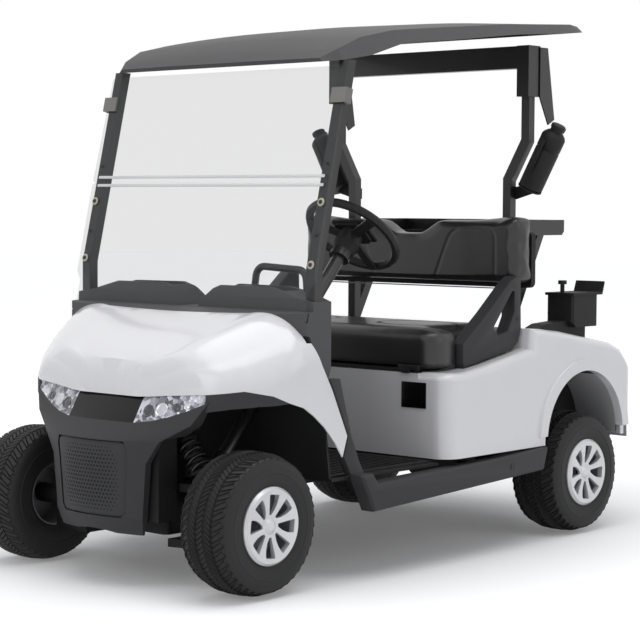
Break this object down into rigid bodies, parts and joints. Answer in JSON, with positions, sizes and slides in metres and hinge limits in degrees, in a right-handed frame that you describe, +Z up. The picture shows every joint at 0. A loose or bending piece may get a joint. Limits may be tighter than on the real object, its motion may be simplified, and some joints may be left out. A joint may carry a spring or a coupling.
{
  "type": "golf cart",
  "caption": "Open-sided electric golf cart with a bench seat, clear windshield, roof on tubes and a bag deck behind.",
  "frame": {"origin": "on the ground under the middle of the cart's overall box", "axes": "+Z up, -Y towards the front of the cart, +X towards its left (driver's) side"},
  "size_m": [1.24, 2.3798, 1.874],
  "materials": {
    "body_white": "gloss moulded, white",
    "roof_grey": "grained, dark grey",
    "trim_charcoal": "fine grain, charcoal",
    "trim_black": "moulded, black",
    "frame_steel": "black powder coat",
    "seat_vinyl": "black grained vinyl",
    "clear_screen": "clear acrylic",
    "clear_lens": "clear lens",
    "gloss_black": "gloss black",
    "smoked_panel": "smoked acrylic",
    "tyre_rubber": "turf tread",
    "cover_silver": "satin silver paint",
    "spring_steel": "black coil and damper",
    "axle_iron": "dark casting",
    "mat_rubber": "ribbed rubber",
    "steering_grip": "moulded soft grip",
    "battery_case": "plain case"
  },
  "bodies": {
    "chassis": {"bag_rack": "frame_steel", "bag_well": "trim_black", "ball_washer": "trim_black", "battery_pack": "battery_case", "bottle_holders": "frame_steel", "dashboard": "trim_charcoal", "floor_mat": "mat_rubber", "floor_pan": "frame_steel", "frame_crossmembers": "frame_steel", "frame_rails": "frame_steel", "front_arms": "frame_steel", "front_beam": "frame_steel", "front_cowl": "body_white", "front_fascia": "trim_charcoal", "front_grille": "gloss_black", "front_liner": "trim_black", "front_pillars": "frame_steel", "front_shocks": "spring_steel", "grab_handle": "frame_steel", "headlamps": "clear_lens", "hip_restraints": "trim_black", "lamp_panel": "gloss_black", "leaf_springs": "frame_steel", "pedals": "trim_black", "quarter_left": "body_white", "quarter_right": "body_white", "rear_axle": "axle_iron", "rear_bumper": "trim_black", "rear_struts": "frame_steel", "roof": "roof_grey", "roof_beam": "frame_steel", "roof_gussets": "smoked_panel", "sand_bottles": "trim_black", "screen_clips": "frame_steel", "seat_back": "seat_vinyl", "seat_back_shell": "trim_charcoal", "seat_base": "body_white", "sill_left": "trim_charcoal", "sill_right": "trim_charcoal", "spring_hangers": "frame_steel", "steering_column": "trim_black", "steering_gear": "frame_steel", "wheel_houses": "trim_black", "windshield_lower": "clear_screen", "windshield_upper": "clear_screen"},
    "steer_left_body": {"knuckle_left": "axle_iron"},
    "steer_right_body": {"knuckle_right": "axle_iron"},
    "front_left_wheel": {"tyre_fl": "tyre_rubber", "wheel_fl": "cover_silver"},
    "front_right_wheel": {"tyre_fr": "tyre_rubber", "wheel_fr": "cover_silver"},
    "rear_left_wheel": {"tyre_rl": "tyre_rubber", "wheel_rl": "cover_silver"},
    "rear_right_wheel": {"tyre_rr": "tyre_rubber", "wheel_rr": "cover_silver"},
    "hand_wheel": {"steering_wheel": "steering_grip"},
    "seat": {"seat_lid": "trim_black", "seat_cushion": "seat_vinyl"}
  },
  "joints": [
    {"name": "steer_left", "type": "hinge", "parent": "chassis", "child": "steer_left_body", "pos_m": [0.366, -0.962, 0.2265], "axis": [0, 0, 1], "range_deg": [-30, 30]},
    {"name": "steer_right", "type": "hinge", "parent": "chassis", "child": "steer_right_body", "pos_m": [-0.366, -0.962, 0.2265], "axis": [0, 0, 1], "range_deg": [-30, 30]},
    {"name": "roll_front_left", "type": "hinge", "parent": "steer_left_body", "child": "front_left_wheel", "pos_m": [0.486, -0.962, 0.2265], "axis": [1, 0, 0], "continuous": true},
    {"name": "roll_front_right", "type": "hinge", "parent": "steer_right_body", "child": "front_right_wheel", "pos_m": [-0.486, -0.962, 0.2265], "axis": [1, 0, 0], "continuous": true},
    {"name": "roll_rear_left", "type": "hinge", "parent": "chassis", "child": "rear_left_wheel", "pos_m": [0.508, 0.714, 0.2265], "axis": [1, 0, 0], "continuous": true},
    {"name": "roll_rear_right", "type": "hinge", "parent": "chassis", "child": "rear_right_wheel", "pos_m": [-0.508, 0.714, 0.2265], "axis": [1, 0, 0], "continuous": true},
    {"name": "hand_wheel_turn", "type": "hinge", "parent": "chassis", "child": "hand_wheel", "pos_m": [0.27, -0.224, 1.1], "axis": [0, 0.6691, 0.7431], "range_deg": [-320, 320]},
    {"name": "seat_tip", "type": "hinge", "parent": "chassis", "child": "seat", "pos_m": [0, -0.126, 0.634], "axis": [1, 0, 0], "range_deg": [0, 50]}
  ],
  "couplings": [
    {"joint": "steer_right", "follows": "steer_left", "ratio": 1},
    {"joint": "hand_wheel_turn", "follows": "steer_left", "ratio": 10}
  ]
}
